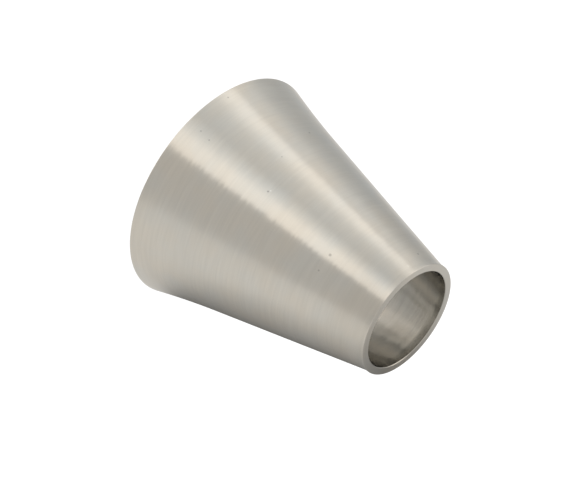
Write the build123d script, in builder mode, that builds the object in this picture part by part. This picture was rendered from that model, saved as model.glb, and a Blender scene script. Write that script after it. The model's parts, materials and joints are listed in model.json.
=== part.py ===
"""Concentric reducer: a one-piece stainless steel taper that joins a large tube to a small one on one axis.

Frame: millimetres, +Z along the axis from the large end to the small end, origin at the centre of the large
end's face. Both ends are cut square, for butt welding to tube of the same outside diameter and wall.
"""
import os

from build123d import *

# Driving dimensions
LARGE_DIAMETER = 50.8  # outside diameter of the tube that joins the large end
SMALL_DIAMETER = 25.4  # outside diameter of the tube that joins the small end
WALL = 1.65  # measured square to the surface, the same all the way
LENGTH = 52.5  # face to face
LAND_LENGTH = 1.2  # straight stretch at the small end, up to the middle of the bend
FLARE_LENGTH = 8.0  # stretch at the large end that opens a little faster than the taper
FLARE_START_DIAMETER = 45.8  # outside diameter where the taper becomes the flare
LAND_BEND_RADIUS = 3.0  # outer surface, between the land and the taper
FLARE_BEND_RADIUS = 200.0  # outer surface, between the taper and the flare
RIM_ROUNDING = 0.15  # outer edge of each end face
MOUTH_CHAMFER = 0.1  # deburred inner edge of each end face

# Corners of the outer surface, as radius and height
LARGE_RIM = (LARGE_DIAMETER / 2, 0)
FLARE_START = (FLARE_START_DIAMETER / 2, FLARE_LENGTH)
LAND_START = (SMALL_DIAMETER / 2, LENGTH - LAND_LENGTH)
SMALL_RIM = (SMALL_DIAMETER / 2, LENGTH)

os.makedirs("parts", exist_ok=True)

with BuildPart() as reducer_body:
    # Outer shape, solid for now: half of the lengthwise section, turned about the axis
    with BuildSketch(Plane.XZ) as half_section:
        with BuildLine():
            Polyline((0, 0), LARGE_RIM, FLARE_START, LAND_START, SMALL_RIM, (0, LENGTH), close=True)
        make_face()
        for corner, radius in ((FLARE_START, FLARE_BEND_RADIUS), (LAND_START, LAND_BEND_RADIUS)):
            fillet(half_section.vertices().sort_by_distance(corner)[0], radius)
    revolve(axis=Axis.Z)

    # Hollowed to an even wall, open at both end faces
    offset(amount=-WALL, openings=reducer_body.faces().filter_by(GeomType.PLANE))

    # Each end face is left with a rounded rim and a deburred mouth
    for end_face in reducer_body.faces().filter_by(GeomType.PLANE):
        mouth, rim = end_face.edges().sort_by(Edge.length)
        fillet(rim, RIM_ROUNDING)
        chamfer(mouth, MOUTH_CHAMFER)

reducer_body.part.label = "reducer_body"
export_step(reducer_body.part, "parts/reducer_body.step")
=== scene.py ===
import json
import math

import bmesh
import bpy
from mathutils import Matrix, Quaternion, Vector, noise


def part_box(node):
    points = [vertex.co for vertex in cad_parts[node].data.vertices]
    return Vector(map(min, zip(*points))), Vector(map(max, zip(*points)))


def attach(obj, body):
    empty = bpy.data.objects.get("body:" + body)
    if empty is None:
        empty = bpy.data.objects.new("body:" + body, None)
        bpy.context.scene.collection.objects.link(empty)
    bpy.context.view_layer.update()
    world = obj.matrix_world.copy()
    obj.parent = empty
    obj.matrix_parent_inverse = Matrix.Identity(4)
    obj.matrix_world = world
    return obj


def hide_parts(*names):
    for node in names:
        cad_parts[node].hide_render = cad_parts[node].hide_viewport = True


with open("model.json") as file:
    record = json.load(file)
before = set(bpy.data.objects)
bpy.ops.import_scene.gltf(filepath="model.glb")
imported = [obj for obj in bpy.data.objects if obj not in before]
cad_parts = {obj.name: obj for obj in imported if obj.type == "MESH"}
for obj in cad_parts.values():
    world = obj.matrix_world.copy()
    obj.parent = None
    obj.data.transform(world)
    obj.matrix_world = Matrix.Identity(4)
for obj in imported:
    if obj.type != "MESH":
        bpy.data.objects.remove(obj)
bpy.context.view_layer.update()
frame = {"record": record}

# ---------------------------------------------------------------------------------------------------------
# Sizes, in metres
# ---------------------------------------------------------------------------------------------------------
MM = 0.001
MOUNTS = {mount["name"]: mount for mount in frame["record"]["mounts"]}
LOW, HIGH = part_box("reducer_body")
LENGTH = HIGH[2] - LOW[2]
SMALL_RADIUS = MOUNTS["small_end_land"]["dims"]["r_mm"] * MM
WALL = SMALL_RADIUS - MOUNTS["small_end_bore"]["dims"]["r_mm"] * MM
LARGE_RADIUS = 25.4 * MM  # before its edge is rounded
FLARE_START_RADIUS = 22.9 * MM
FLARE_LENGTH = 8.0 * MM
LAND_LENGTH = 1.2 * MM
LAND_BEND_RADIUS = 3.0 * MM
FLARE_BEND_RADIUS = 200.0 * MM
RIM_ROUNDING = 0.15 * MM
MOUTH_CHAMFER = 0.1 * MM

SEGMENTS = 384  # round the axis
LONGEST_RUN = 0.9 * MM  # between rings along a straight stretch
BEND_STEPS = 8
SHARP_ANGLE = 25  # degrees: edges that turn more than this stay crisp
WAVINESS = 0.012 * MM  # how far the formed wall wanders from true
WAVES = (1.1, 45)  # how fast it wanders round the axis and, to the metre, along it
TRUE_ENDS = 3 * MM  # the wandering dies out over this length at each end


# ---------------------------------------------------------------------------------------------------------
# The shell's lengthwise section. A point is a complex number: radius + height * 1j
# ---------------------------------------------------------------------------------------------------------
def bend(before, corner, after, radius):
    """The arc that rounds a corner off, as points from the first tangent point to the last."""
    towards, onwards = before - corner, after - corner
    towards /= abs(towards)
    onwards /= abs(onwards)
    half = math.acos(max(-1.0, min(1.0, (towards * onwards.conjugate()).real))) / 2
    middle = (towards + onwards) / abs(towards + onwards)
    centre = corner + middle * radius / math.sin(half)
    start = corner + towards * radius / math.tan(half) - centre
    turn = (corner + onwards * radius / math.tan(half) - centre) / start
    step = math.atan2(turn.imag, turn.real) / BEND_STEPS
    return [centre + start * complex(math.cos(step * i), math.sin(step * i)) for i in range(BEND_STEPS + 1)]


def rounded(corners):
    """The points of a line through corners, each a point and the radius of the bend there, or 0."""
    points = [corners[0][0]]
    for (before, _), (corner, radius), (after, _) in zip(corners, corners[1:], corners[2:]):
        points += bend(before, corner, after, radius) if radius else [corner]
    return points + [corners[-1][0]]


def divided(points):
    """The same line with its long straight runs cut into short ones."""
    fine = [points[0]]
    for start, end in zip(points, points[1:]):
        cuts = max(1, math.ceil(abs(end - start) / LONGEST_RUN))
        fine += [start + (end - start) * i / cuts for i in range(1, cuts + 1)]
    return fine


def inward(before, corner, after):
    """Where a corner of the outer line goes when the line moves in by the wall's thickness."""
    normals = [-1j * (b - a) / abs(b - a) for a, b in ((before, corner), (corner, after))]
    middle = (normals[0] + normals[1]) / abs(normals[0] + normals[1])
    return corner - middle * WALL / (middle * normals[0].conjugate()).real


def section():
    """The outer side with both end faces, then the bore. Bevels at the mouths join the two lines."""
    large_rim = complex(LARGE_RADIUS, 0)
    flare_start = complex(FLARE_START_RADIUS, FLARE_LENGTH)
    land_start = complex(SMALL_RADIUS, LENGTH - LAND_LENGTH)
    small_rim = complex(SMALL_RADIUS, LENGTH)
    bore_flare = inward(large_rim, flare_start, land_start)
    bore_land = inward(flare_start, land_start, small_rim)
    flare_slope = (FLARE_START_RADIUS - LARGE_RADIUS) / FLARE_LENGTH
    large_mouth = complex(bore_flare.real - flare_slope * bore_flare.imag, 0)
    small_mouth = complex(SMALL_RADIUS - WALL, LENGTH)
    large_bevel = complex(large_mouth.real + flare_slope * MOUTH_CHAMFER, MOUTH_CHAMFER)

    outer = rounded([
        (large_mouth + MOUTH_CHAMFER, 0),
        (large_rim, RIM_ROUNDING),
        (flare_start, FLARE_BEND_RADIUS),
        (land_start, LAND_BEND_RADIUS),
        (small_rim, RIM_ROUNDING),
        (small_mouth + MOUTH_CHAMFER, 0),
    ])
    bore = rounded([
        (small_mouth - MOUTH_CHAMFER * 1j, 0),
        (bore_land, LAND_BEND_RADIUS + WALL),
        (bore_flare, FLARE_BEND_RADIUS + WALL),
        (large_bevel, 0),
    ])
    return outer, bore


# ---------------------------------------------------------------------------------------------------------
# Mesh
# ---------------------------------------------------------------------------------------------------------
OUTSIDE, ENDS, BORE = range(3)  # zones of the shell, in the order of FINISHES_AND_SHADE


def zone_of(start, end, on_bore):
    """Which of the three materials a strip of the section has."""
    middle = (start + end) / 2
    if middle.imag < RIM_ROUNDING / 2 or middle.imag > LENGTH - RIM_ROUNDING / 2:
        return ENDS
    return BORE if on_bore else OUTSIDE


def wander(direction, point):
    """The small error of form of the wall in one direction from the axis, at one height."""
    around, lengthwise = WAVES
    place = Vector((direction.x * around, direction.y * around, point.imag * lengthwise))
    ends = min(point.imag, LENGTH - point.imag) / TRUE_ENDS
    return WAVINESS * min(1.0, ends) * noise.noise(place)


def make_ring(bm, point):
    """The vertices at one point of the section, all the way round."""
    height = Vector((0, 0, point.imag))
    vertices = []
    for i in range(SEGMENTS):
        turn = math.tau * i / SEGMENTS
        direction = Vector((math.cos(turn), math.sin(turn), 0))
        radius = point.real + wander(direction, point)
        vertices.append(bm.verts.new(direction * radius + height))
    return vertices


def make_shell():
    """The whole reducer as one closed mesh. Its second texture coordinate is the way along the section."""
    outer, bore = (divided(line) for line in section())
    points = outer + bore
    mesh = bpy.data.meshes.new("reducer_shell")
    bm = bmesh.new()
    rings = [make_ring(bm, point) for point in points]
    uv = bm.loops.layers.uv.new("section")
    along = 0.0
    for i, ring in enumerate(rings):
        following = rings[(i + 1) % len(rings)]
        start, end = points[i], points[(i + 1) % len(points)]
        step = abs(end - start)
        zone = zone_of(start, end, i >= len(outer))
        for k in range(SEGMENTS):
            n = (k + 1) % SEGMENTS
            face = bm.faces.new((ring[k], ring[n], following[n], following[k]))
            face.smooth = True
            face.material_index = zone
            corners = ((k, along), (k + 1, along), (k + 1, along + step), (k, along + step))
            for loop, (column, distance) in zip(face.loops, corners):
                loop[uv].uv = (column / SEGMENTS, distance)
        along += step
    bmesh.ops.recalc_face_normals(bm, faces=bm.faces)
    bm.to_mesh(mesh)
    bm.free()
    mesh.set_sharp_from_angle(angle=math.radians(SHARP_ANGLE))
    shell = bpy.data.objects.new("reducer_shell", mesh)
    bpy.context.scene.collection.objects.link(shell)
    return shell


# ---------------------------------------------------------------------------------------------------------
# Materials
# ---------------------------------------------------------------------------------------------------------
class Nodes:
    """A short way to write a node tree."""

    def __init__(self, tree):
        self.tree = tree
        tree.nodes.clear()

    def add(self, kind, values=(), **settings):
        """A new node. Each value is linked if it is another node's output, and set on the socket if not."""
        node = self.tree.nodes.new("ShaderNode" + kind)
        for name, value in settings.items():
            setattr(node, name, value)
        for socket, value in dict(values).items():
            if isinstance(value, bpy.types.NodeSocket):
                self.tree.links.new(value, node.inputs[socket])
            else:
                node.inputs[socket].default_value = value
        return node

    def math(self, operation, *values):
        return self.add("Math", enumerate(values), operation=operation).outputs[0]

    def ranged(self, value, low, high, new_low, new_high, smooth=False):
        values = {"Value": value, "From Min": low, "From Max": high, "To Min": new_low, "To Max": new_high}
        kind = "SMOOTHSTEP" if smooth else "LINEAR"
        return self.add("MapRange", values, interpolation_type=kind).outputs["Result"]

    def spot(self, place, centre, radius, strength):
        """A soft-edged dot, whole out to 0.6 of its radius and gone at 1.5 times its radius."""
        away = self.add("VectorMath", {0: place, 1: centre}, operation="DISTANCE").outputs["Value"]
        return self.ranged(away, radius * 0.6, radius * 1.5, strength, 0.0, smooth=True)

    def mixed(self, factor, first, second, blend="MIX"):
        node = self.add("Mix", data_type="RGBA", blend_type=blend)
        for socket, value in ((node.inputs[0], factor), (node.inputs[6], first), (node.inputs[7], second)):
            if isinstance(value, bpy.types.NodeSocket):
                self.tree.links.new(value, socket)
            else:
                socket.default_value = value
        return node.outputs[2]


# Marks on the outside. Each has its angle in degrees from the front (-Y) towards +X, its height above the
# large end, its radius, and its strength from 0 to 1.
PITS = (
    (-13.4, 21.2 * MM, 0.17 * MM, 0.75),
    (-34.8, 17.8 * MM, 0.15 * MM, 0.50),
    (-64.2, 15.2 * MM, 0.18 * MM, 0.60),
    (-61.5, 49.2 * MM, 0.20 * MM, 0.55),
    (-37.8, 1.4 * MM, 0.16 * MM, 0.60),
    (-15.0, 5.6 * MM, 0.16 * MM, 0.55),
    (-15.8, 3.2 * MM, 0.15 * MM, 0.50),
    (-5.5, 38.6 * MM, 0.26 * MM, 0.55),
    (8.0, 38.5 * MM, 0.16 * MM, 0.50),
)
PAINTED_GLINTS = (  # painted highlights, light flecks in the colour: light on the raised edge of the first pit, and one fleck by the small end
    (-14.7, 21.5 * MM, 0.15 * MM, 0.40),
    (-41.2, 50.6 * MM, 0.25 * MM, 0.12),
)
PIT_STAIN = 0.7  # how much of the metal's colour a pit hides
PIT_DEPTH = 6.0  # in heights of a brush line
SCATTER_CELLS = 170.0  # to the metre
SCATTER_ABOVE = 0.93  # a cell has a pit where its own random number is above this
SCATTER_RADII = (0.02, 0.04)  # in cells: a pit is whole out to the first and gone at the second
SCATTER_STRENGTH = 0.5
CLOUDS = 140.0  # to the metre, slow changes of tint and roughness

PIT_COLOUR = (0.10, 0.09, 0.08, 1)
# near white: the colour of the painted highlights
PAINTED_GLINT_COLOUR = (0.95, 0.93, 0.88, 1)
COOL, WARM = (0.985, 1.0, 1.015, 1), (1.015, 1.0, 0.98, 1)
BLACK = (0, 0, 0, 1)

FINE_REACH, COARSE_REACH, LEAN_REACH = 6 * MM, 22 * MM, 3 * MM  # how far brush lines run round the axis
COARSER, LEANING = 4, 1.5  # spacing of the coarse lines and of the leaning, in fine lines
LINE_RANGE, CLOUD_RANGE, LEAN_RANGE = (0.3, 0.7), (0.35, 0.65), (0.25, 0.75)  # where each noise mostly stays
ROUGHNESS_SPREAD = 0.05
ANISOTROPY = 0.97
BLUR_TURN = 0.25  # of a full turn: the longer blur runs along the part, across the brush lines
SMALL_END_DARK_FROM, SMALL_END_DARK_WHOLE = LENGTH - 14 * MM, LENGTH - 3 * MM  # darker, duller metal by the small end
SMALL_END_ROUGHENS = 4  # how many times as much the metal by the small end roughens as it darkens

# The outside and the ends keep a roughness above 0.275. Renders with part of it below that came out in
# patches, sharp brush lines beside smeared ones. All of the bore is well below it.
FINISHES_AND_SHADE = {
    "steel_outside": {
        "colour": (0.60, 0.565, 0.50),
        "roughness": 0.29,
        "line_spacing": 0.36 * MM,
        "line_contrast": 0.032,
        "line_depth": 0.0006 * MM,
        "line_lean": 0.010,
        "small_end_darkening": 0.03,
    },
    "steel_ends": {
        # darker than the outside's colour: painted shade on the end faces; the roughness and lines are their
        # own finish
        "colour": (0.505, 0.475, 0.42),
        "roughness": 0.29,
        "line_spacing": 0.30 * MM,
        "line_contrast": 0.02,
        "line_depth": 0.0003 * MM,
        "line_lean": 0.010,
        "small_end_darkening": 0.0,
    },
    "steel_bore": {
        # darker than the outside's colour: painted shade inside the bore; the lower roughness and coarser
        # lines are its own finish
        "colour": (0.42, 0.405, 0.37),
        "roughness": 0.17,
        "line_spacing": 0.40 * MM,
        "line_contrast": 0.07,
        "line_depth": 0.0008 * MM,
        "line_lean": 0.017,
        "small_end_darkening": 0.0,
    },
}


def on_outside(angle, height):
    """A point on the outside, below the land."""
    if height < FLARE_LENGTH:
        radius = LARGE_RADIUS + (FLARE_START_RADIUS - LARGE_RADIUS) * height / FLARE_LENGTH
    else:
        part = (height - FLARE_LENGTH) / (LENGTH - LAND_LENGTH - FLARE_LENGTH)
        radius = FLARE_START_RADIUS + (SMALL_RADIUS - FLARE_START_RADIUS) * part
    turn = math.radians(angle)
    return (radius * math.sin(turn), -radius * math.cos(turn), height)


def brush_lines(nodes, where, spacing, reach, detail):
    """Noise drawn out into rings: spacing apart along the section, each fading over reach round the axis."""
    x, y, along = where
    stretched = {
        "X": nodes.math("MULTIPLY", x, 1 / reach),
        "Y": nodes.math("MULTIPLY", y, 1 / reach),
        "Z": nodes.math("MULTIPLY", along, 1 / spacing),
    }
    vector = nodes.add("CombineXYZ", stretched).outputs["Vector"]
    texture = {"Vector": vector, "Scale": 1.0, "Detail": detail, "Roughness": 0.6}
    return nodes.add("TexNoise", texture).outputs["Fac"]


def strongest_mark(nodes, place, marks, start):
    """The strongest of these marks at each place, or start where that is stronger."""
    strongest = start
    for angle, height, radius, strength in marks:
        spot = nodes.spot(place, on_outside(angle, height), radius, strength)
        strongest = nodes.math("MAXIMUM", strongest, spot)
    return strongest


def scattered_pits(nodes, place):
    """Small pits here and there, each in a cell of its own."""
    cells = nodes.add("TexVoronoi", {"Vector": place, "Scale": SCATTER_CELLS, "Randomness": 1.0})
    dot = nodes.ranged(cells.outputs["Distance"], *SCATTER_RADII, SCATTER_STRENGTH, 0.0, smooth=True)
    draw = nodes.add("SeparateXYZ", {"Vector": cells.outputs["Color"]}).outputs["X"]
    return nodes.math("MULTIPLY", dot, nodes.math("GREATER_THAN", draw, SCATTER_ABOVE))


def steel_colour(nodes, place, colour, contrast, lines, cloud, pit):
    """Lighter and darker brush lines, a slow drift from cool to warm, painted highlights (glints) and pits.
    """
    light = [c * (1 + contrast) for c in colour] + [1]
    dark = [c * (1 - contrast) for c in colour] + [1]
    brushed = nodes.mixed(nodes.ranged(lines, *LINE_RANGE, 0.0, 1.0), dark, light)
    drift = nodes.mixed(nodes.ranged(cloud, *CLOUD_RANGE, 0.0, 1.0), COOL, WARM)
    tinted = nodes.mixed(1.0, brushed, drift, "MULTIPLY")
    # painted highlights: the colour turns near white at each glint
    with_painted_glints = nodes.mixed(strongest_mark(nodes, place, PAINTED_GLINTS, 0.0), tinted, PAINTED_GLINT_COLOUR)
    return nodes.mixed(nodes.math("MULTIPLY", pit, PIT_STAIN), with_painted_glints, PIT_COLOUR)


def steel_roughness(nodes, roughness, coarse, cloud):
    """A little rougher and smoother from place to place, along with the coarse lines and the clouds."""
    uneven = nodes.math("ADD", nodes.math("MULTIPLY", coarse, 0.6), nodes.math("MULTIPLY", cloud, 0.4))
    smoothest, roughest = roughness * (1 - ROUGHNESS_SPREAD), roughness * (1 + ROUGHNESS_SPREAD)
    return nodes.ranged(uneven, *LINE_RANGE, smoothest, roughest)


def steel_normal(nodes, tangent, height, depth, lean):
    """A shallow bump. Brush lines also lean to one side or the other, which frays what the steel mirrors."""
    bump = nodes.add("Bump", {"Height": height, "Strength": 1.0, "Distance": depth}).outputs["Normal"]
    sideways = nodes.add("VectorMath", {0: tangent, "Scale": lean}, operation="SCALE").outputs["Vector"]
    leaning = nodes.add("VectorMath", {0: bump, 1: sideways}, operation="ADD").outputs["Vector"]
    return nodes.add("VectorMath", {0: leaning}, operation="NORMALIZE").outputs["Vector"]


def steel(name, colour, roughness, line_spacing, line_contrast, line_depth, line_lean, small_end_darkening):
    """Stainless steel brushed round the axis. The lines lie across the section, so they ring the part."""
    material = bpy.data.materials.new(name)
    material.use_nodes = True
    nodes = Nodes(material.node_tree)
    place = nodes.add("TexCoord").outputs["Object"]
    section_uv = nodes.add("UVMap", uv_map="section").outputs["UV"]
    along = nodes.add("SeparateXYZ", {"Vector": section_uv}).outputs["Y"]
    across = nodes.add("SeparateXYZ", {"Vector": place}).outputs
    where = (across["X"], across["Y"], along)

    fine = brush_lines(nodes, where, line_spacing, FINE_REACH, 0.0)
    coarse = brush_lines(nodes, where, line_spacing * COARSER, COARSE_REACH, 1.0)
    lines = nodes.math("ADD", nodes.math("MULTIPLY", fine, 0.5), nodes.math("MULTIPLY", coarse, 0.5))
    cloud = nodes.add("TexNoise", {"Vector": place, "Scale": CLOUDS, "Detail": 3.0}).outputs["Fac"]
    pit = strongest_mark(nodes, place, PITS, scattered_pits(nodes, place))
    near_small_end = nodes.ranged(across["Z"], SMALL_END_DARK_FROM, SMALL_END_DARK_WHOLE, 0.0, 1.0, smooth=True)

    metal = steel_colour(nodes, place, colour, line_contrast, lines, cloud, pit)
    # The metal turns darker and rougher towards the small end
    darker_by_small_end = nodes.mixed(nodes.math("MULTIPLY", near_small_end, small_end_darkening), metal, BLACK)
    rough = steel_roughness(nodes, roughness, coarse, cloud)
    rougher_by_small_end = nodes.math("ADD", 1.0, nodes.math("MULTIPLY", near_small_end, small_end_darkening * SMALL_END_ROUGHENS))

    tangent = nodes.add("Tangent", direction_type="RADIAL", axis="Z").outputs["Tangent"]
    height = nodes.math("SUBTRACT", coarse, nodes.math("MULTIPLY", pit, PIT_DEPTH))
    leaning = brush_lines(nodes, where, line_spacing * LEANING, LEAN_REACH, 0.0)
    lean = nodes.ranged(leaning, *LEAN_RANGE, -line_lean, line_lean)
    shader = nodes.add("BsdfPrincipled", {
        "Base Color": darker_by_small_end,
        "Metallic": 1.0,
        "Roughness": nodes.math("MULTIPLY", rough, rougher_by_small_end),
        "Anisotropic": ANISOTROPY,
        "Anisotropic Rotation": BLUR_TURN,
        "Normal": steel_normal(nodes, tangent, height, line_depth, lean),
        "Tangent": tangent,
    })
    nodes.add("OutputMaterial", {"Surface": shader.outputs["BSDF"]})
    return material


def finish_shell(shell):
    """The three finishes of the one piece of steel, in the order of its zones. The ends and the bore also
    have darker colours than the outside, as painted shade.
    """
    for name, finish_and_shade in FINISHES_AND_SHADE.items():
        shell.data.materials.append(steel(name, **finish_and_shade))


# ---------------------------------------------------------------------------------------------------------
# Studio
# ---------------------------------------------------------------------------------------------------------
# The soft light tent round the part, one ring of panels above another. Each panel has its azimuth in degrees
# (0 is the camera's side, 90 is +X), its brightness, and its warmth, which tints it. TENT is level with the
# part, and the outside mirrors it. The bore mirrors TENT_LOW, TENT_LOWER and TENT_LOWEST through the large
# end. TENT_HIGH holds the one bright panel that lights the edge of the small end's mouth.
TENT = (
    (-180, 0.74, -0.06),
    (-158, 0.70, -0.06),
    (-147, 0.68, -0.05),
    (-138, 0.63, -0.04),
    (-126, 0.61, -0.03),
    (-110, 0.69, -0.02),
    (-95, 0.89, -0.01),
    (-84, 0.90, 0.0),
    (-80, 1.36, 0.01),
    (-72, 1.31, 0.0),
    (-61, 1.02, -0.01),
    (-40, 0.82, -0.03),
    (-28, 1.13, -0.03),
    (-18, 1.48, 0.01),
    (-5, 1.46, 0.02),
    (-2, 0.72, 0.0),
    (3, 0.67, 0.0),
    (90, 0.68, 0.0),
    (180, 0.74, -0.06),
)
TENT_HIGH = (
    (-180, 0.72, 0.0),
    (-142, 0.72, 0.0),
    (-124, 2.00, 0.02),
    (-86, 2.00, 0.02),
    (-66, 0.72, 0.0),
    (180, 0.72, 0.0),
)
TENT_LOW = (
    (-180, 1.35, 0.0),
    (-100, 1.35, 0.0),
    (-75, 0.90, 0.0),
    (-61, 0.65, 0.0),
    (-50, 1.35, 0.03),
    (-42, 1.38, 0.04),
    (-26, 1.62, 0.05),
    (-12, 1.05, 0.05),
    (0, 0.76, 0.03),
    (12, 0.66, 0.02),
    (36, 0.58, 0.02),
    (49, 0.68, 0.01),
    (61, 0.62, 0.0),
    (75, 0.90, 0.0),
    (100, 1.35, 0.0),
    (180, 1.35, 0.0),
)
TENT_LOWER = (
    (-180, 1.35, 0.0),
    (-100, 1.35, 0.0),
    (-75, 0.90, 0.0),
    (-63, 0.75, 0.0),
    (-59, 0.15, 0.0),
    (-47, 0.15, 0.0),
    (-42, 0.85, 0.04),
    (-28, 0.85, 0.05),
    (-10, 1.30, 0.05),
    (4, 1.00, 0.03),
    (20, 0.90, 0.02),
    (28, 0.66, 0.02),
    (43, 0.75, 0.0),
    (47, 0.15, 0.0),
    (59, 0.15, 0.0),
    (63, 0.75, 0.0),
    (75, 0.90, 0.0),
    (100, 1.35, 0.0),
    (180, 1.35, 0.0),
)
TENT_LOWEST = (
    (-180, 1.70, 0.03),
    (-140, 1.20, 0.03),
    (-105, 1.10, 0.03),
    (-50, 1.60, 0.03),
    (-31, 1.70, 0.04),
    (0, 1.10, 0.03),
    (31, 1.00, 0.03),
    (42, 1.80, 0.04),
    (55, 1.90, 0.04),
    (70, 2.40, 0.05),
    (105, 2.90, 0.05),
    (140, 2.30, 0.05),
    (180, 1.70, 0.03),
)
TENT_TOP = (0.72, 0.72, 0.72, 1)

# Where each ring begins to take over and where it is alone, as the upward part of the direction
TENT_RINGS = (
    (TENT_LOW, -0.50, -0.66),
    (TENT_LOWER, -0.80, -0.82),
    (TENT_LOWEST, -0.92, -0.96),
    (TENT_HIGH, 0.30, 0.50),
)
TOP_FROM, TOP_ALONE = 0.75, 0.90
PANEL_RANGE = 4  # the ramps hold brightness divided by this, which keeps them between 0 and 1

FLOOR_RADIUS = 1.6
FLOOR_PAINT = 0.30
FLOOR_GLOW = 0.78
FLOOR_RINGS = (0.02, 0.05, 0.1, 0.25, 0.5, 0.75, 1.0)  # in radii of the floor
FLOOR_SPOKES = 96
BACKDROP_BEND, BACKDROP_TOP = 0.8, 3.0  # the radius of its bend, and its height
BACKDROP_STEPS = 12  # in the bend

# The white card stands in for the table that the part lies on in the photograph
CARD_AZIMUTH = 131  # degrees, the side the part lies on
CARD_SIZE = 1.2
CARD_GAP = 0.1 * MM  # between the card and the steel, so that they don't meet
CARD_NEAR, CARD_FAR = 0.06, 0.5
CARD_GLOW_NEAR, CARD_GLOW_FAR = 0.90, 0.68  # brightest close to the part, like a table under a lamp
CARD_SHADE_REACH = 0.045
CARD_SHADE_OPEN = 0.83  # with this much of its sky open, a spot on the card is fully lit
END_SHADE_SIZE = 30 * MM  # the deeper shade on the card just in front of the small end
END_SHADE = 0.42
END_SHADE_EDGES = (-4 * MM, 1 * MM)  # from the end of the contact, where that shade begins and is whole

LAMP_SIZE, LAMP_POWER, LAMP_HEIGHT = 0.5, 2.0, 0.9


def tent_ring(nodes, azimuth, panels):
    """The panels of one ring of the tent, by azimuth."""
    full_turn = nodes.ranged(azimuth, -math.pi, math.pi, 0.0, 1.0)
    ramp = nodes.add("ValToRGB", {"Fac": full_turn})
    stops = ramp.color_ramp.elements
    stops.remove(stops[1])  # the one that is left, at -180 degrees, becomes the first panel
    for i, (degrees, brightness, warmth) in enumerate(panels):
        stop = stops[0] if i == 0 else stops.new((degrees + 180) / 360)
        stop.color = [brightness / PANEL_RANGE * tint for tint in (1 + warmth, 1, 1 - warmth)] + [1]
    return nodes.mixed(1.0, ramp.outputs["Color"], (PANEL_RANGE, PANEL_RANGE, PANEL_RANGE, 1), "MULTIPLY")


def make_tent():
    """The tent as the world: rings of bright and dull panels round the part, and an even top."""
    world = bpy.data.worlds.new("light_tent")
    bpy.context.scene.world = world
    world.use_nodes = True
    nodes = Nodes(world.node_tree)
    direction = nodes.add("TexCoord").outputs["Generated"]
    xyz = nodes.add("SeparateXYZ", {"Vector": direction})
    azimuth = nodes.math("ARCTAN2", xyz.outputs["X"], nodes.math("MULTIPLY", xyz.outputs["Y"], -1.0))
    whole = tent_ring(nodes, azimuth, TENT)
    for panels, start, alone in TENT_RINGS:
        share = nodes.ranged(xyz.outputs["Z"], start, alone, 0.0, 1.0, smooth=True)
        whole = nodes.mixed(share, whole, tent_ring(nodes, azimuth, panels))
    overhead = nodes.ranged(xyz.outputs["Z"], TOP_FROM, TOP_ALONE, 0.0, 1.0, smooth=True)
    whole = nodes.mixed(overhead, whole, TENT_TOP)
    background = nodes.add("Background", {"Color": whole, "Strength": 1.0})
    nodes.add("OutputWorld", {"Surface": background.outputs["Background"]})


def make_floor():
    """A plain pale floor that turns up into a backdrop far off. The steel doesn't mirror it."""
    mesh = bpy.data.meshes.new("studio_floor")
    bm = bmesh.new()
    profile = [(FLOOR_RADIUS * part, 0.0) for part in FLOOR_RINGS]
    for i in range(1, BACKDROP_STEPS + 1):
        turn = math.radians(90) * i / BACKDROP_STEPS
        height = BACKDROP_BEND * (1 - math.cos(turn))
        profile.append((FLOOR_RADIUS + BACKDROP_BEND * math.sin(turn), height))
    profile.append((FLOOR_RADIUS + BACKDROP_BEND, BACKDROP_TOP))
    centre = bm.verts.new((0, 0, 0))
    angles = [math.tau * i / FLOOR_SPOKES for i in range(FLOOR_SPOKES)]
    rings = []
    for radius, height in profile:
        rings.append([bm.verts.new((radius * math.cos(a), radius * math.sin(a), height)) for a in angles])
    for k in range(FLOOR_SPOKES):
        n = (k + 1) % FLOOR_SPOKES
        bm.faces.new((centre, rings[0][k], rings[0][n]))
        for low, high in zip(rings, rings[1:]):
            bm.faces.new((low[k], high[k], high[n], low[n]))
    for face in bm.faces:
        face.smooth = True
    bm.to_mesh(mesh)
    bm.free()
    floor = bpy.data.objects.new("studio_floor", mesh)
    bpy.context.scene.collection.objects.link(floor)
    floor.visible_glossy = False
    floor.visible_shadow = False
    mesh.materials.append(floor_paint())


def floor_paint():
    """Pale matt paint with a glow of its own, and clear from below."""
    material = bpy.data.materials.new("pale_floor")
    material.use_nodes = True
    nodes = Nodes(material.node_tree)
    paint = nodes.add("BsdfPrincipled", {
        "Base Color": (FLOOR_PAINT, FLOOR_PAINT, FLOOR_PAINT, 1),
        "Roughness": 0.9,
        "Specular IOR Level": 0.0,
        "Emission Color": (1, 1, 1, 1),
        "Emission Strength": FLOOR_GLOW,
    })
    clear = nodes.add("BsdfTransparent")
    underside = nodes.add("NewGeometry").outputs["Backfacing"]
    either = {0: underside, 1: paint.outputs["BSDF"], 2: clear.outputs["BSDF"]}
    nodes.add("OutputMaterial", {"Surface": nodes.add("MixShader", either).outputs["Shader"]})
    return material


def card_lean():
    """How far the card leans from upright, to lie along the taper."""
    return math.atan((LARGE_RADIUS - SMALL_RADIUS) / LENGTH)


def make_card():
    """A white card that touches the part all along one side. Only the steel sees it."""
    turn = math.radians(CARD_AZIMUTH)
    lean = card_lean()
    side = Vector((math.sin(turn), -math.cos(turn), 0))
    away = side * math.cos(lean) + Vector((0, 0, math.sin(lean)))
    touch = side * (LARGE_RADIUS + SMALL_RADIUS) / 2 + Vector((0, 0, LENGTH / 2))
    mesh = bpy.data.meshes.new("white_card")
    bm = bmesh.new()
    bmesh.ops.create_grid(bm, x_segments=2, y_segments=2, size=CARD_SIZE / 2)
    bm.to_mesh(mesh)
    bm.free()
    card = bpy.data.objects.new("white_card", mesh)
    card.rotation_euler = (-away).to_track_quat("Z", "Y").to_euler()
    card.location = touch + away * CARD_GAP
    bpy.context.scene.collection.objects.link(card)
    card.visible_camera = False
    card.visible_diffuse = False
    card.visible_shadow = False
    mesh.materials.append(card_paint())


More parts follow.
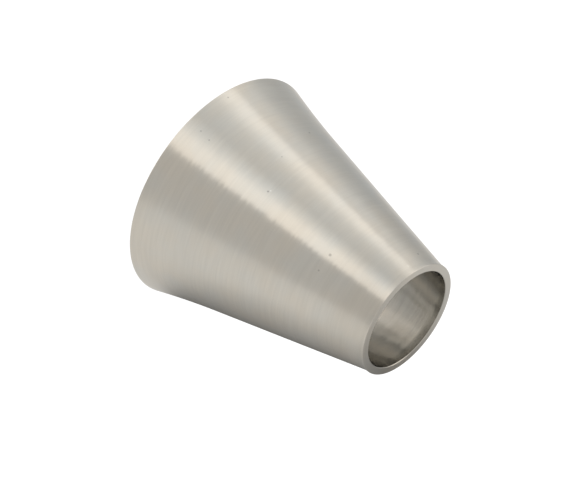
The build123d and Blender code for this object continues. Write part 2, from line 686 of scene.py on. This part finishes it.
def card_paint():
    """White, shaded where the part keeps the light off it, as the photograph's table is."""
    material = bpy.data.materials.new("white_card")
    material.use_nodes = True
    nodes = Nodes(material.node_tree)
    place = nodes.add("TexCoord").outputs["Object"]
    distance = nodes.add("VectorMath", {0: place}, operation="LENGTH").outputs["Value"]
    lit = nodes.ranged(distance, CARD_NEAR, CARD_FAR, CARD_GLOW_NEAR, CARD_GLOW_FAR)
    shade = nodes.add("AmbientOcclusion", {"Distance": CARD_SHADE_REACH}).outputs["AO"]
    near = nodes.ranged(shade, 0.0, CARD_SHADE_OPEN, 0.0, 1.0)

    # Along the card's own Y the part's line of contact runs up to its small end
    end_of_contact = (0, LENGTH / math.cos(card_lean()) / 2, 0)
    from_end = nodes.add("VectorMath", {0: place, 1: end_of_contact}, operation="DISTANCE").outputs["Value"]
    up = nodes.add("SeparateXYZ", {"Vector": place}).outputs["Y"]
    begins, whole = (end_of_contact[1] + edge for edge in END_SHADE_EDGES)
    beyond = nodes.ranged(up, begins, whole, 0.0, 1.0, smooth=True)
    cast = nodes.math("MULTIPLY", beyond, nodes.ranged(from_end, 0.0, END_SHADE_SIZE, END_SHADE, 0.0))
    glow = nodes.math("MULTIPLY", nodes.math("MULTIPLY", lit, near), nodes.math("SUBTRACT", 1.0, cast))
    emission = nodes.add("Emission", {"Color": (1, 1, 1, 1), "Strength": glow})
    nodes.add("OutputMaterial", {"Surface": emission.outputs["Emission"]})
    return material


def make_lamp():
    """One wide soft lamp overhead, for the part's faint shadow on the floor."""
    light = bpy.data.lights.new("overhead_softbox", "AREA")
    light.shape = "DISK"
    light.size = LAMP_SIZE
    light.energy = LAMP_POWER
    lamp = bpy.data.objects.new("overhead_softbox", light)
    lamp.location = (0, 0, LAMP_HEIGHT)
    lamp.visible_glossy = False
    bpy.context.scene.collection.objects.link(lamp)


# ---------------------------------------------------------------------------------------------------------
# Camera
# ---------------------------------------------------------------------------------------------------------
CAMERA_ELEVATION = 29.45  # degrees above the large end's plane
CAMERA_ROLL = 125.53  # degrees: the small end points right and down, as with the part lying on its side
CAMERA_DISTANCE = 0.4854
LENS = 153.2
MIDDLE_OF_PICTURE = Vector((0.00153, 0.0, 0.01919))


def make_camera():
    """A long lens, with the part as large and as turned as in the photograph."""
    data = bpy.data.cameras.new("camera")
    data.lens = LENS
    data.sensor_width = 36.0
    data.clip_start = 0.01
    data.clip_end = 20.0
    camera = bpy.data.objects.new("camera", data)
    elevation = math.radians(CAMERA_ELEVATION)
    back = Vector((0, -math.cos(elevation), math.sin(elevation)))
    upright = back.to_track_quat("Z", "Y")
    camera.location = MIDDLE_OF_PICTURE + back * CAMERA_DISTANCE
    camera.rotation_mode = "QUATERNION"
    camera.rotation_quaternion = upright @ Quaternion((0, 0, 1), math.radians(CAMERA_ROLL))
    bpy.context.scene.collection.objects.link(camera)
    bpy.context.scene.camera = camera


shell = make_shell()
finish_shell(shell)
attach(shell, "root")
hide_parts("reducer_body")

make_tent()
make_floor()
make_card()
make_lamp()
make_camera()
bpy.context.scene.view_settings.view_transform = "Standard"
